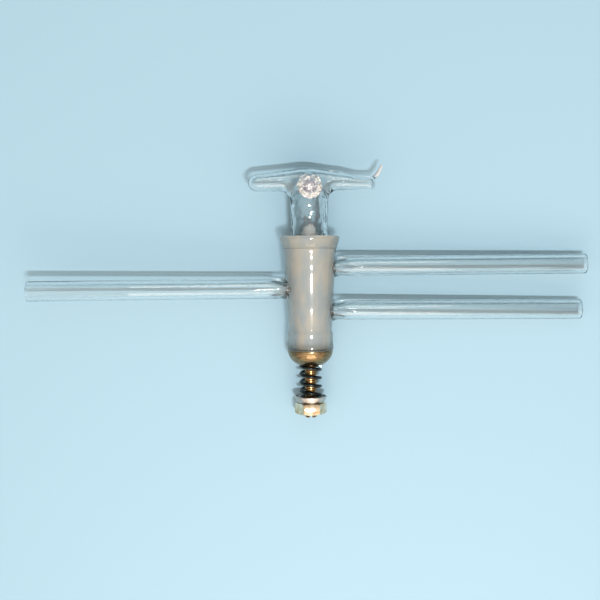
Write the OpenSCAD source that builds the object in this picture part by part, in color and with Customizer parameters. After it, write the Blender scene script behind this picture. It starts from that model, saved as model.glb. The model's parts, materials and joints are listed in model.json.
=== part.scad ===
// Three-way glass stopcock, lying on its side as it comes to rest.
//
// Everything is drawn in the key's own frame: Z runs along the key towards its
// handle, X runs along the side tubes towards the parallel pair, and Z = 0 is the
// level of the single side tube. rest() then lays the whole part on the bench,
// where it stands on the barrel's lip, the barrel's foot and the lower tube's end.

/* [Side tubes] */
// Outside diameter of the side tubes
tube_od = 8; // [6:0.5:10]
// Wall of the side tubes
tube_wall = 1.2; // [0.8:0.1:1.8]
// Length of the single tube, measured from the key's axis
single_len = 112.2; // [60:0.2:160]
// Length of the upper tube of the parallel pair, from the key's axis
upper_len = 112.1; // [60:0.2:160]
// How much shorter the lower tube of the parallel pair is
lower_short = 2.1; // [0:0.1:6]
// Lean of the lower tube towards the nut, in degrees
lower_lean = 0.5; // [-1:0.1:1.5]
// Distance along the key from the single tube to each parallel tube
port_step = 8.7; // [7:0.1:10]
// Bore of the passages through the key and the barrel's wall
port_d = 3.6; // [2:0.1:4]
// Extra radius of the fused joint where a tube meets the barrel
weld_flare = 1; // [0.4:0.1:1.2]
// Length over which the fused joint thins down to the tube
weld_len = 4.5; // [3:0.5:8]
// Length over which the tube's bore narrows to the port
funnel_len = 6.5; // [4:0.5:10]
// Rounding that the flame leaves on each tube's open end
flame_round = 0.35; // [0.1:0.05:0.5]

/* [Barrel] */
// Bore of the ground cone at the single tube's level
cone_d = 14.4; // [13:0.1:16]
// Taper of the ground cone, as length over change of diameter
cone_taper = 10; // [8:0.5:12]
// Wall of the barrel at the single tube's level
barrel_wall = 2.5; // [2:0.1:3.5]
// Taper of the barrel's outside, as length over change of diameter
barrel_taper = 7.7; // [6.5:0.1:10]
// Length of the barrel above the single tube
barrel_up = 21.1; // [19:0.1:24]
// Length of the barrel below the single tube
barrel_down = 24.7; // [22:0.1:30]
// Diameter over the flared lip
lip_d = 24.2; // [22.5:0.1:26]
// Length over which the lip flares
lip_len = 8; // [5:0.5:10]
// Wall of the flared lip
lip_wall = 2; // [1.4:0.1:2.4]
// Diameter over the swelling at the foot
foot_d = 18.6; // [17.6:0.1:20]
// Length over which the foot swells
foot_len = 9; // [6:0.5:12]
// Rounding of the foot's edge
foot_round = 0.5; // [0.2:0.1:1]
// Depth of the mouth above the ground cone
mouth_depth = 4.8; // [3:0.1:6]

/* [Key] */
// Gap between the ground faces, filled by grease
grind_gap = 0.04; // [0.02:0.01:0.1]
// How far the key's small end stands out of the barrel
key_proud = 0.8; // [0:0.1:2]
// Bevel on the edge of the key's small end
key_bevel = 0.5; // [0.2:0.1:1]
// How far the top of the ground zone stays below the barrel's mouth cone
shoulder_drop = 0.5; // [0.2:0.1:1.5]
// Length of the shoulder between the ground zone and the neck
shoulder_len = 2; // [1:0.1:3]
// Diameter of the blown neck
neck_d = 15.4; // [13:0.1:15.8]
// How much the neck's radius draws in at its waist
neck_waist = 0.45; // [0:0.05:1]
// Level at which the neck's side ends under the crossbar
neck_top = 35; // [31:0.1:38]
// Wall of the blown neck and crossbar
blown_wall = 1.1; // [0.8:0.1:1.6]
// Height of the sealed floor inside the neck above the ground zone
floor_rise = 4.5; // [2:0.1:8]
// Rounding between the sealed floor and the neck's wall
floor_round = 1.4; // [0.8:0.1:2]
// Diameter of the pip that stands on the sealed floor
pip_d = 5.2; // [3:0.1:7]
// Height of the pip
pip_h = 5.6; // [2:0.1:8]
// Level of the crossbar's axis
bar_level = 42.55; // [40:0.05:46]
// Radius of the crossbar at its round end
bar_r_left = 3.9; // [3:0.05:4.5]
// Radius of the crossbar at the end that was drawn off
bar_r_right = 3.45; // [2.8:0.05:4]
// Reach of the crossbar's round end from the key's axis
bar_left = 24.3; // [18:0.1:32]
// Reach of the crossbar's drawn end from the key's axis
bar_right = 26.3; // [18:0.1:32]
// Rounding of the crossbar's drawn end
bar_end_round = 1.6; // [0.8:0.1:2.4]
// How far the crossbar's top comes down towards its round end
droop_left = 0.9; // [0:0.1:1.4]
// Length over which it comes down to the round end
droop_left_run = 13; // [6:0.5:16]
// How far the crossbar's top comes down towards its drawn end
droop_right = 1.4; // [0:0.1:1.8]
// Length over which it comes down towards the drawn end
droop_right_run = 8; // [4:0.5:14]
// Length of the narrowed part at the drawn end
droop_right_end = 4.8; // [2:0.1:8]
// Rise of the swelling on top of the crossbar, over the neck
hump = 1.6; // [0.5:0.1:2.5]
// Half length of that swelling
hump_run = 9; // [6:0.5:14]
// How far the crossbar also swells to the front and the back there
bar_swell = 1.1; // [0:0.1:2]
// Radius of the fillet between neck and crossbar
bar_fillet = 3.8; // [2:0.1:5]
// Radius of the thick lump where the blowing tube was sealed, in front
lump_r = 4.6; // [3.5:0.1:5]
// How far the lump stands proud of the crossbar
lump_proud = 2.4; // [0.5:0.1:3]
// How far the lump's middle lies below the crossbar's axis
lump_drop = 1.9; // [0:0.1:3]
// Length of the drawn-off glass thread at the crossbar's end
thread_len = 5.4; // [2:0.1:8]
// Angle at which the glass thread rises from the crossbar
thread_angle = 58; // [20:1:80]
// Thickness of the glass thread at its root
thread_root = 2.2; // [1.4:0.1:2.6]
// Thickness of the glass thread at its tip
thread_end = 0.4; // [0.3:0.05:1]
// How far the glass thread sags from a straight line
thread_sag = 0.5; // [0:0.1:1]

/* [Key retainer] */
// Diameter of the brass stud
stud_d = 4.8; // [4:0.1:5.2]
// Pitch of the stud's thread
thread_pitch = 0.8; // [0.5:0.05:1]
// Chamfer on the stud's end
stud_chamfer = 0.4; // [0.2:0.1:0.8]
// Depth of the socket in the key's small end
socket_depth = 12.4; // [10:0.1:13]
// Diameter of the socket
socket_d = 7.8; // [7.2:0.1:8.4]
// Diameter of the stud's buried head
head_d = 6.6; // [5.8:0.1:7]
// Thickness of the stud's buried head
head_t = 2; // [1:0.1:3]
// Cement left between the buried head and the socket's floor
cement_floor = 0.8; // [0.4:0.1:1.5]
// Diameter of the domed brass cap
cap_d = 18.2; // [17:0.1:18.4]
// Height of the domed cap
cap_h = 6; // [4:0.1:8]
// Diameter of the flat that the spring bears on
cap_flat_d = 9.8; // [9.6:0.1:11]
// Wall of the domed cap
cap_wall = 1; // [0.6:0.1:1.4]
// Running clearance of the stud in the cap, the cup and the nut, on the radius
stud_clear = 0.06; // [0.03:0.01:0.1]
// Length of the fitted spring
spring_len = 14.8; // [12:0.1:18]
// Outside diameter of the spring
spring_od = 9.2; // [8.4:0.1:9.4]
// Wire of the spring
wire_d = 1.3; // [0.8:0.1:1.3]
// Free coils of the spring
coils = 4; // [3:0.5:6]
// Gap between the touching coils at each end of the spring
coil_gap = 0.06; // [0.04:0.01:0.1]
// Diameter over the rim of the spring cup
cup_d = 12.9; // [12.5:0.1:15]
// Diameter of the cup's flat floor
cup_floor_d = 10.4; // [10.2:0.1:11.6]
// Height of the cup
cup_h = 2.9; // [2:0.1:4]
// Sheet thickness of the cup
cup_wall = 0.7; // [0.5:0.1:0.9]
// Bevel on the edge of the cup's floor
cup_bevel = 0.3; // [0.1:0.1:0.5]
// Width of the nut across its flats
nut_flats = 11.1; // [9:0.1:13]
// Thickness of the nut
nut_t = 4.4; // [3:0.1:6]
// Chamfer on the nut's corners, measured along the axis
nut_chamfer = 0.6; // [0.2:0.1:1]
// How far the stud stands out of the nut
stud_proud = 1.4; // [1.2:0.1:4]
// Width of the screwdriver slot in the stud's end
slot_w = 1.1; // [0.6:0.1:1.4]
// Depth of the screwdriver slot
slot_depth = 1.2; // [0.6:0.1:1.2]

/* [Hidden] */
$fn = 96;

GLASS = [0.72, 0.83, 0.86, 0.55];
GROUND = [0.66, 0.65, 0.61];
BRASS = [0.73, 0.56, 0.35];
NICKEL = [0.80, 0.79, 0.75];
SPRING_STEEL = [0.20, 0.24, 0.25];
PLASTER = [0.85, 0.82, 0.74];

tube_r = tube_od / 2;
tube_bore_r = tube_r - tube_wall;
port_r = port_d / 2;
lip_r = lip_d / 2;
foot_r = foot_d / 2;
mouth_level = barrel_up - mouth_depth;
key_top = mouth_level - shoulder_drop;
key_end = -barrel_down - key_proud;
neck_r = neck_d / 2;
neck_dome = bar_level + 0.65 * bar_r_left;
stud_r = stud_d / 2;
hole_r = stud_r + stud_clear;
cap_level = -barrel_down;
cap_end = cap_level - cap_h;
cup_floor = cap_end - spring_len;
nut_face = cup_floor - cup_wall;
nut_end = nut_face - nut_t;
stud_end = nut_end - stud_proud;
socket_floor = key_end + socket_depth;
head_top = socket_floor - cement_floor;
// How the flared lip and the open mouth curve outwards; 1 is a straight cone
lip_curve = 1.6;
mouth_curve = 1.3;

// Tilt of the key's axis, which lies on the lip and the foot
lip_contact = barrel_up - lip_wall / 2;
foot_contact = -barrel_down + foot_round;
tilt = asin((lip_r - foot_r) / norm([lip_contact - foot_contact, lip_r - foot_r]));
axis_height = lip_r * cos(tilt) - lip_contact * sin(tilt);
// Roll about the key's axis, until the lower tube's end touches the bench
lower_len = upper_len - lower_short;
end_reach = lower_len - flame_round;
end_level = -port_step - end_reach * sin(lower_lean);
end_height = axis_height + end_level * sin(tilt);
tube_dip = asin(end_height / norm([end_reach, tube_r])) - atan2(tube_r, end_reach);
roll = asin(sin(tube_dip) / cos(tilt));
// Centre of the part's box, which the origin stands under
mid_x = (upper_len - single_len) / 2 * cos(roll);
thread_way = [cos(thread_angle), sin(thread_angle)];
drawn_corner = [bar_right, bar_level + bar_r_right - droop_right];
thread_tip = drawn_corner + thread_len * thread_way;
mid_y = (thread_tip[1] + stud_end) / 2 * cos(tilt);

// Smooth step from 0 to 1
function ease(t) = let (u = min(1, max(0, t))) u * u * (3 - 2 * u);
// Bell that is 1 at the middle and falls off over a width
function bell(x, width) = exp(-pow(x / width, 2));
// Points from one value to another, both ends included
function span(from, to, steps) = [for (i = [0:steps]) from + (to - from) * i / steps];
// Points on an arc, from one angle to another
function arc(centre, r, from, to, steps) =
    [for (a = span(from, to, steps)) centre + r * [cos(a), sin(a)]];

// Radius of the ground cone at a level
function cone_r(z) = cone_d / 2 + z / (2 * cone_taper);
// Radius of the barrel's outside at a level
function barrel_r(z) =
    let (plain = function (z) cone_d / 2 + barrel_wall + z / (2 * barrel_taper))
    let (lip_rise = lip_r - plain(lip_contact))
    let (foot_rise = foot_r - plain(foot_contact))
    let (lip_part = max(0, (z - lip_contact + lip_len) / lip_len))
    let (foot_part = ease((foot_len + foot_contact - z) / foot_len))
    plain(z) + lip_rise * pow(lip_part, lip_curve) + foot_rise * foot_part;
// Radius of the open mouth above the ground cone
function mouth_r(z) =
    let (part = max(0, (z - mouth_level) / (lip_contact - mouth_level)))
    let (widening = lip_r - lip_wall - cone_r(mouth_level))
    cone_r(mouth_level) + widening * pow(part, mouth_curve);
// Distance from the axis at which a side tube is rooted in the barrel's wall
function tube_start(z) = cone_r(z) + 0.3 * barrel_wall;
// Radius of the blown neck at a level
function neck_at(z) =
    neck_r - neck_waist * sin(180 * ease((z - key_top) / (neck_top - key_top)));

// Radius of the plain crossbar at a distance along it
function bar_r(x) =
    bar_r_left + (bar_r_right - bar_r_left) * ease((x + bar_left) / (bar_left + bar_right));
// How far the crossbar's top lies below its plain form, towards the two ends
function droop(x) =
    droop_left * ease((droop_left_run - bar_left - x) / droop_left_run)
    + droop_right * ease(1 - (bar_right - droop_right_end - x) / droop_right_run);
// How far the fillet hangs below the plain crossbar
function fillet_drop(x) =
    let (run = min(bar_fillet, max(0, neck_r + bar_fillet - abs(x))))
    bar_fillet - sqrt(pow(bar_fillet, 2) - pow(run, 2));

// Lays the part on the bench
module rest() {
    translate([-mid_x, -mid_y, axis_height])
        rotate([tilt - 90, 0, 0])
            rotate([0, 0, roll])
                children();
}

// Turns an outline of radius and level into a solid round the key's axis
module turned(outline) {
    rotate_extrude() polygon(outline);
}

// Skins a row of rings, each a list of as many points, and closes both ends
module lofted(rings) {
    n = len(rings);
    sides = len(rings[0]);
    sheet = [for (i = [0:n - 2], k = [0:sides - 1])
        let (next = (k + 1) % sides)
        [i * sides + k, (i + 1) * sides + k, (i + 1) * sides + next, i * sides + next]];
    first = [for (k = [0:sides - 1]) k];
    last = [for (k = [sides - 1:-1:0]) (n - 1) * sides + k];
    polyhedron([for (r = rings) each r], concat([first], sheet, [last]));
}

// Places something that lies along +Z onto a side tube's axis
module on_tube(side, level, lean) {
    translate([0, 0, level]) rotate([0, side * (90 + lean), 0]) children();
}

// ---- Barrel -------------------------------------------------------------------

module barrel_shell() {
    side = [for (z = span(foot_contact, lip_contact, 44)) [barrel_r(z), z]];
    lip = arc([lip_r - lip_wall / 2, lip_contact], lip_wall / 2, 0, 180, 10);
    mouth = [for (z = span(lip_contact, mouth_level, 6)) [mouth_r(z), z]];
    bottom = cap_level;
    foot = arc([foot_r - foot_round, foot_contact], foot_round, -90, 0, 4);
    turned(concat(foot, side, lip, mouth, [[cone_r(bottom), bottom]]));
}

// One side tube, with the fused joint that thickens it at the barrel
module side_tube(len, start) {
    weld_end = start + weld_len;
    weld = [for (z = span(start, weld_end, 8))
        [tube_r + weld_flare * pow((weld_end - z) / weld_len, 2), z]];
    end = arc([tube_r - flame_round, len - flame_round], flame_round, 0, 90, 4);
    turned(concat([[0, start]], weld, end, [[0, len]]));
}

// The passage inside one side tube, which narrows to the port
module tube_bore(len, start) {
    first = start + 0.45 * weld_len;
    funnel = [for (z = span(first, first + funnel_len, 6))
        [port_r + (tube_bore_r - port_r) * ease((z - first) / funnel_len), z]];
    end_r = tube_bore_r + flame_round;
    mouth_in = arc([end_r, len - flame_round], flame_round, 180, 90, 4);
    turned(concat([[0, 0], [port_r, 0]], funnel, mouth_in, [[end_r, len + 1], [0, len + 1]]));
}

// Level, side, length and lean of each tube
tubes = [[0, -1, single_len, 0], [port_step, 1, upper_len, 0],
         [-port_step, 1, lower_len, lower_lean]];

module barrel() color(GROUND) rest() difference() {
    union() {
        barrel_shell();
        for (t = tubes)
            on_tube(t[1], t[0], t[3]) side_tube(t[2], tube_start(t[0]));
    }
    for (t = tubes)
        on_tube(t[1], t[0], t[3]) tube_bore(t[2], tube_start(t[0]));
}

// ---- Key ----------------------------------------------------------------------

// Solid plug with its ground taper, and the blown neck closed by a dome
module plug_and_neck() {
    ground_r = function (z) cone_r(z) - grind_gap;
    edge = key_end + key_bevel;
    rise = neck_dome - neck_top;
    top_r = neck_at(neck_top);
    neck = [for (z = span(key_top + shoulder_len, neck_top, 14)) [neck_at(z), z]];
    dome = [for (a = span(8, 90, 10)) [top_r * cos(a), neck_top + rise * sin(a)]];
    turned(concat([[0, key_end], [ground_r(edge) - key_bevel, key_end], [ground_r(edge), edge],
        [ground_r(key_top), key_top], [neck_r, key_top + 0.4 * shoulder_len]], neck, dome));
}

// The hollow of the neck, with the pip that the sealed plug leaves on its floor
module neck_hollow() {
    floor_level = key_top + floor_rise;
    wall_level = floor_level + floor_round;
    inner_r = function (z) neck_at(z) - blown_wall;
    pip = [for (a = span(0, 90, 6))
        [pip_d / 2 * sin(a), floor_level + pip_h * pow(cos(a), 1.4)]];
    corner = arc([inner_r(wall_level) - floor_round, wall_level], floor_round, -80, -10, 5);
    inside = [for (z = span(wall_level, neck_top, 12)) [inner_r(z), z]];
    rise = neck_dome - blown_wall - neck_top;
    dome = [for (a = span(8, 90, 10)) [inner_r(neck_top) * cos(a), neck_top + rise * sin(a)]];
    turned(concat(pip, corner, inside, dome));
}

// Crossbar as rings of ellipses, drawn in or hollowed by a wall
module crossbar(wall) {
    sides = 28;
    left = -bar_left + wall;
    right = bar_right - wall;
    round_l = bar_r_left - wall;
    round_r = bar_end_round;
    xs = concat([for (a = span(4, 76, 5)) left + round_l * (1 - cos(a))],
        span(left + round_l, right - round_r, 34),
        [for (a = span(18, 86, 4)) right - round_r + round_r * sin(a)]);
    // Share of the full section that is left at the rounded ends
    near_l = function (x) sqrt(max(0, 1 - pow(max(0, left + round_l - x) / round_l, 2)));
    near_r = function (x)
        1 - 0.5 * (1 - sqrt(max(0, 1 - pow(max(0, x - right + round_r) / round_r, 2))));
    ring = function (x)
        let (share = near_l(x) * near_r(x))
        let (r = bar_r(x) - droop(x) / 2 - wall)
        let (top = r + hump * bell(x, hump_run))
        let (bottom = r + fillet_drop(x))
        let (middle = bar_level - droop(x) / 2 + (top - bottom) / 2)
        let (height = (top + bottom) / 2 * share)
        let (depth = (r + bar_swell * bell(x, hump_run * 2 / 3)) * share)
        [for (k = [0:sides - 1])
            let (a = 360 * k / sides) [x, depth * cos(a), middle + height * sin(a)]];
    lofted([for (x = xs) ring(x)]);
}

// Thick lump on the crossbar's front, over the neck
module lump() {
    front = bar_r(0) + bar_swell + lump_proud;
    translate([0, lump_r - front, bar_level - lump_drop]) sphere(r = lump_r);
}

// Glass thread left where the blowing tube was drawn off
module drawn_thread() {
    sides = 12;
    // The root lies inside the crossbar's rounded corner
    start = drawn_corner - 0.85 * bar_end_round * thread_way;
    down = [thread_way[1], -thread_way[0]];
    spot = function (t) start + t * (thread_tip - start) + 4 * t * (1 - t) * thread_sag * down;
    thick = function (t) (thread_root + (thread_end - thread_root) * pow(t, 0.6)) / 2;
    ring = function (t)
        let (way = spot(t + 0.01) - spot(t - 0.01))
        let (across = [way[1], -way[0]] / norm(way))
        [for (k = [0:sides - 1])
            let (a = 360 * k / sides)
            let (point = spot(t) + thick(t) * cos(a) * across)
            [point[0], thick(t) * sin(a), point[1]]];
    lofted([for (t = span(0, 1, 9)) ring(t)]);
}

// One slanting passage, from the single tube's level to a parallel tube's level
module slant_bore(side) {
    from = [-side * cone_r(0), 0];
    to = [side * cone_r(side * port_step), side * port_step];
    way = to - from;
    over = 3 * way / norm(way);
    translate([from[0] - over[0], 0, from[1] - over[1]])
        rotate([0, atan2(way[0], way[1]), 0])
            cylinder(r = port_r, h = norm(way) + 2 * norm(over));
}

module key() color(GLASS) rest() difference() {
    union() {
        plug_and_neck();
        crossbar(0);
        lump();
        drawn_thread();
    }
    neck_hollow();
    crossbar(blown_wall);
    slant_bore(1);
    slant_bore(-1);
    translate([0, 0, key_end - 1]) cylinder(d = socket_d, h = socket_depth + 1);
}

// ---- Retainer -----------------------------------------------------------------

module stud_body() {
    turned([[0, stud_end], [stud_r - stud_chamfer, stud_end], [stud_r, stud_end + stud_chamfer],
        [stud_r, head_top - head_t], [head_d / 2, head_top - head_t], [head_d / 2, head_top],
        [0, head_top]]);
}

module stud_cement() color(PLASTER) rest() difference() {
    translate([0, 0, key_end]) cylinder(d = socket_d, h = socket_depth);
    stud_body();
}

module stud() color(BRASS) rest() difference() {
    stud_body();
    translate([-slot_w / 2, -stud_d, stud_end - 1]) cube([slot_w, 2 * stud_d, slot_depth + 1]);
}

module dome_cap() color(BRASS) rest() {
    flat_r = cap_flat_d / 2;
    rim_r = cap_d / 2;
    // Angle on the dome's ellipse at which its flat begins
    last = acos(flat_r / rim_r);
    drop = cap_h / sin(last);
    outside = [for (a = span(0, last, 14)) [rim_r * cos(a), cap_level - drop * sin(a)]];
    inside = [for (a = span(last, 0, 12))
        [(rim_r - cap_wall) * cos(a), cap_level - (drop - cap_wall / sin(last)) * sin(a)]];
    turned(concat(outside, [[hole_r, cap_end], [hole_r, cap_end + cap_wall]], inside));
}

module spring() color(SPRING_STEEL) rest() {
    sides = 10;
    per_turn = 24;
    seat = 0.02;
    wire_r = wire_d / 2;
    mean_r = spring_od / 2 - wire_r;
    rise = spring_len - wire_d - 2 * seat;
    pitch = rise / coils;
    // Part of a turn that lies flat on each seat before the free coils climb
    flat = 1 - (wire_d + coil_gap) / pitch;
    turns = coils + 2 * flat;
    rings = round(turns * per_turn);
    level = function (t) cap_end - seat - wire_r - pitch * min(coils, max(0, t - flat));
    ring = function (i)
        let (t = turns * i / rings)
        let (climb = t > flat && t < turns - flat ? atan2(pitch, 2 * PI * mean_r) : 0)
        [for (k = [0:sides - 1])
            let (a = 360 * k / sides)
            let (r = mean_r + wire_r * cos(a))
            let (along = wire_r * sin(a) * sin(climb))
            let (up = wire_r * sin(a) * cos(climb))
            [r * cos(360 * t) - along * sin(360 * t), r * sin(360 * t) + along * cos(360 * t),
             level(t) + up]];
    lofted([for (i = [0:rings]) ring(i)]);
}

module spring_cup() color(NICKEL) rest() {
    floor_r = cup_floor_d / 2;
    rim_r = cup_d / 2;
    rim = nut_face + cup_h;
    inner_floor = floor_r - cup_wall / 2;
    turned(concat([[hole_r, nut_face], [floor_r - cup_bevel, nut_face],
        [floor_r, nut_face + cup_bevel]],
        arc([rim_r - cup_wall / 2, rim - cup_wall / 2], cup_wall / 2, 0, 180, 6),
        [[inner_floor, cup_floor], [hole_r, cup_floor]]));
}

module clamp_nut() color(BRASS) rest() difference() {
    corner_r = nut_flats / 2 / cos(30);
    // Reach of a 30 degree chamfer across the end face
    reach = nut_chamfer / tan(30);
    intersection() {
        translate([0, 0, nut_end]) cylinder(r = corner_r, h = nut_t, $fn = 6);
        turned([[0, nut_end], [corner_r - reach, nut_end], [corner_r, nut_end + nut_chamfer],
            [corner_r, nut_face - nut_chamfer / 2], [corner_r - reach / 2, nut_face],
            [0, nut_face]]);
    }
    translate([0, 0, nut_end - 1]) cylinder(r = hole_r, h = nut_t + 2);
}

barrel();
key();
stud_cement();
stud();
dome_cap();
spring();
spring_cup();
clamp_nut();
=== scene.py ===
"""Dresses the three-way glass stopcock: blown and ground glass, brass, spring wire and
bright plate, lying on a plain pale bench under a flash and two soft lamps."""

import json
import math

import bpy
from mathutils import Matrix, Vector, noise


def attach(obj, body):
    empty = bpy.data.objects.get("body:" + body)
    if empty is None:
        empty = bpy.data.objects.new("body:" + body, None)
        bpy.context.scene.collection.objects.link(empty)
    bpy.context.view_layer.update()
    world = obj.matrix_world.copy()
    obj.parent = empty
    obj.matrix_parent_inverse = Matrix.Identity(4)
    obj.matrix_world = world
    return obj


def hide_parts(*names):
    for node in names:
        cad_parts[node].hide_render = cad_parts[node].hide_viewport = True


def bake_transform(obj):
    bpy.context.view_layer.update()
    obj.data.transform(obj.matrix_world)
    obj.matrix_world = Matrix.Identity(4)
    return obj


MM = 0.001
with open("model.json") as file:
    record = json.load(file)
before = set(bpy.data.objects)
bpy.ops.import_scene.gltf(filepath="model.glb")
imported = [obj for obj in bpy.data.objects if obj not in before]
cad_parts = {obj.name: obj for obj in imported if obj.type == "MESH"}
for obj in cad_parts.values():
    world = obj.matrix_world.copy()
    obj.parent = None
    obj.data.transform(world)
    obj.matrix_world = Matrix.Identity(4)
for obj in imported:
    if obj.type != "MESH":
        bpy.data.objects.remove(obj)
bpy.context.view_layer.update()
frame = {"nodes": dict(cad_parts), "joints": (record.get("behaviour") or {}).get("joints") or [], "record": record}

# ---- The key's own frame ------------------------------------------------------------
# Pieces are modelled upright, with Z along the key towards its handle, X along the
# side tubes towards the parallel pair, and Z = 0 at the single tube. lay_down() then
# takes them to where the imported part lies.

joints = {joint["name"]: joint for joint in frame["joints"]}
mounts = {mount["name"]: mount for mount in frame["record"]["mounts"]}
key_axis = Vector(joints["key_turn"]["axis"]).normalized()
tube_axis = Vector(mounts["upper_tube_end"]["axis"])
tube_axis = (tube_axis - tube_axis.dot(key_axis) * key_axis).normalized()
LAID = Matrix.Translation(joints["key_turn"]["pos_m"]) @ Matrix(
    (tube_axis, key_axis.cross(tube_axis), key_axis)
).transposed().to_4x4()
UPRIGHT = LAID.inverted()


def reach(node):
    """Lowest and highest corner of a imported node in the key's own frame."""
    points = [UPRIGHT @ vertex.co for vertex in frame["nodes"][node].data.vertices]
    return (
        Vector(min(p[i] for p in points) for i in range(3)),
        Vector(max(p[i] for p in points) for i in range(3)),
    )


# ---- Modelling helpers --------------------------------------------------------------


def deselect():
    """Leaves object mode with nothing selected."""
    if bpy.context.object and bpy.context.object.mode != "OBJECT":
        bpy.ops.object.mode_set(mode="OBJECT")
    bpy.ops.object.select_all(action="DESELECT")


def take(piece):
    """Makes a piece the only selected and active one."""
    deselect()
    piece.select_set(True)
    bpy.context.view_layer.objects.active = piece


def edit(piece, kind="VERT"):
    """Opens a piece in edit mode with nothing selected."""
    take(piece)
    bpy.ops.object.mode_set(mode="EDIT")
    bpy.ops.mesh.select_mode(type=kind)
    bpy.ops.mesh.select_all(action="DESELECT")


def close_up(piece, merge=0.002 * MM):
    """Merges doubles and turns every face outwards."""
    edit(piece)
    bpy.ops.mesh.select_all(action="SELECT")
    bpy.ops.mesh.remove_doubles(threshold=merge)
    bpy.ops.mesh.normals_make_consistent(inside=False)
    bpy.ops.object.mode_set(mode="OBJECT")


def pull(name, rings, sides=64, across="Z", closed=False):
    """Starts from a circle and extrudes it through a row of rings, each a centre and the
    circle's two half widths. A closed row ends where it began and has no end faces."""
    deselect()
    turn = (0, math.pi / 2, 0) if across == "X" else (0, 0, 0)
    bpy.ops.mesh.primitive_circle_add(
        vertices=sides,
        radius=rings[0][1] if closed or rings[0][1] == rings[0][2] else 1,
        fill_type="NOTHING" if closed else "NGON",
        enter_editmode=True,
        location=(0, 0, 0),
        rotation=turn,
    )
    piece = bpy.context.object
    piece.name = piece.data.name = name
    centre, wide, high = rings[0]
    if not (closed or wide == high):
        size = (1, wide, high) if across == "X" else (wide, high, 1)
        bpy.ops.transform.resize(value=size, center_override=(0, 0, 0))
    bpy.ops.transform.translate(value=centre)
    for to, next_wide, next_high in rings[1:]:
        move = Vector(to) - Vector(centre)
        bpy.ops.mesh.extrude_region_move(TRANSFORM_OT_translate={"value": move})
        by = (next_wide / wide, next_high / high)
        size = (1, *by) if across == "X" else (*by, 1)
        bpy.ops.transform.resize(value=size, center_override=to)
        centre, wide, high = to, next_wide, next_high
    bpy.ops.object.mode_set(mode="OBJECT")
    bpy.ops.object.transform_apply(location=True, rotation=True, scale=True)
    close_up(piece)
    return piece


def turned(name, outline, sides=96, closed=False):
    """Turned body from an outline of radius and level, in millimetres."""
    rings = [((0, 0, z * MM), r * MM, r * MM) for r, z in outline]
    return pull(name, rings, sides, closed=closed)


def apply(piece, kind, **settings):
    """Adds a modifier with its settings and applies it."""
    take(piece)
    modifier = piece.modifiers.new(kind.lower(), kind)
    for key, value in settings.items():
        setattr(modifier, key, value)
    bpy.ops.object.modifier_apply(modifier=modifier.name)
    return piece


def join(pieces, name):
    """Joins pieces into the first one."""
    take(pieces[0])
    for piece in pieces[1:]:
        piece.select_set(True)
    bpy.ops.object.join()
    pieces[0].name = pieces[0].data.name = name
    return pieces[0]


def cut(piece, tool, operation="DIFFERENCE"):
    """Cuts a piece with a tool and removes the tool."""
    apply(piece, "BOOLEAN", object=tool, operation=operation, solver="EXACT")
    bpy.data.objects.remove(tool)
    return piece


def lay_down(piece, body, nodes, angle=40):
    """Smooths a finished piece up to an angle between its faces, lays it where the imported
    part lies, and lets it stand for its nodes on their body."""
    take(piece)
    bpy.ops.object.shade_smooth_by_angle(angle=math.radians(angle))
    piece.data.transform(LAID @ piece.matrix_world)
    piece.matrix_world = Matrix.Identity(4)
    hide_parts(*nodes)
    if body:
        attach(piece, body)
    return piece


def steps(start, stop, count):
    """Evenly spaced values, both ends included."""
    return [start + (stop - start) * i / count for i in range(count + 1)]


def ease(t):
    """Smooth step from 0 to 1."""
    t = min(1.0, max(0.0, t))
    return t * t * (3 - 2 * t)


# ---- Sizes in millimetres -----------------------------------------------------------
# They are the part's own, but for the wider pip, the thread's depth, and the waves and
# ripples of hand work.

CONE_R, CONE_SLOPE = 14.4 / 2, 1 / 20
BARREL_UP, BARREL_DOWN, MOUTH_DEPTH = 21.1, 24.7, 4.8
GRIND_GAP = 0.04
KEY_TOP, SHOULDER_LEN, KEY_BEVEL = 15.8, 2.0, 0.5
NECK_R, NECK_WAIST, NECK_TOP = 15.4 / 2, 0.45, 35.0
BLOWN_WALL, FLOOR_RISE, PIP_R, PIP_H = 1.1, 4.5, 3.4, 5.6
BAR_LEVEL, BAR_R_LEFT, BAR_R_RIGHT = 42.55, 3.9, 3.45
BAR_LEFT, BAR_RIGHT, BAR_END_ROUND = 24.3, 26.3, 1.6
DROOP_LEFT, DROOP_LEFT_RUN = 0.9, 13.0
DROOP_RIGHT, DROOP_RIGHT_RUN, DROOP_RIGHT_END = 1.4, 8.0, 4.8
HUMP, HUMP_RUN, BAR_SWELL, BAR_FILLET = 1.6, 9.0, 1.1, 3.8
LUMP_R, LUMP_PROUD, LUMP_DROP = 4.6, 2.4, 1.9
GLASS_THREAD_LEN, GLASS_THREAD_ANGLE, GLASS_THREAD_SAG = 5.4, math.radians(58), 0.5
PORT_R, PORT_STEP = 1.8, 8.7
SOCKET_R, SOCKET_DEPTH = 3.9, 12.4
STUD_R, THREAD_PITCH, THREAD_DEPTH = 2.4, 0.8, 0.32
SLOT_W, SLOT_DEPTH = 1.1, 1.2
HEAD_R, HEAD_T = 3.3, 2
CAP_FLAT_R, CAP_WALL = 4.9, 1.0
WIRE_R, COILS, COIL_GAP = 0.65, 4, 0.06
CUP_FLOOR_R, CUP_WALL = 5.2, 0.7
STUD_CLEAR = 0.06
STUD_HOLE_R = STUD_R + STUD_CLEAR
SEALED_FLOOR = KEY_TOP + FLOOR_RISE
LUMP_LEVEL = BAR_LEVEL - LUMP_DROP
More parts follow.
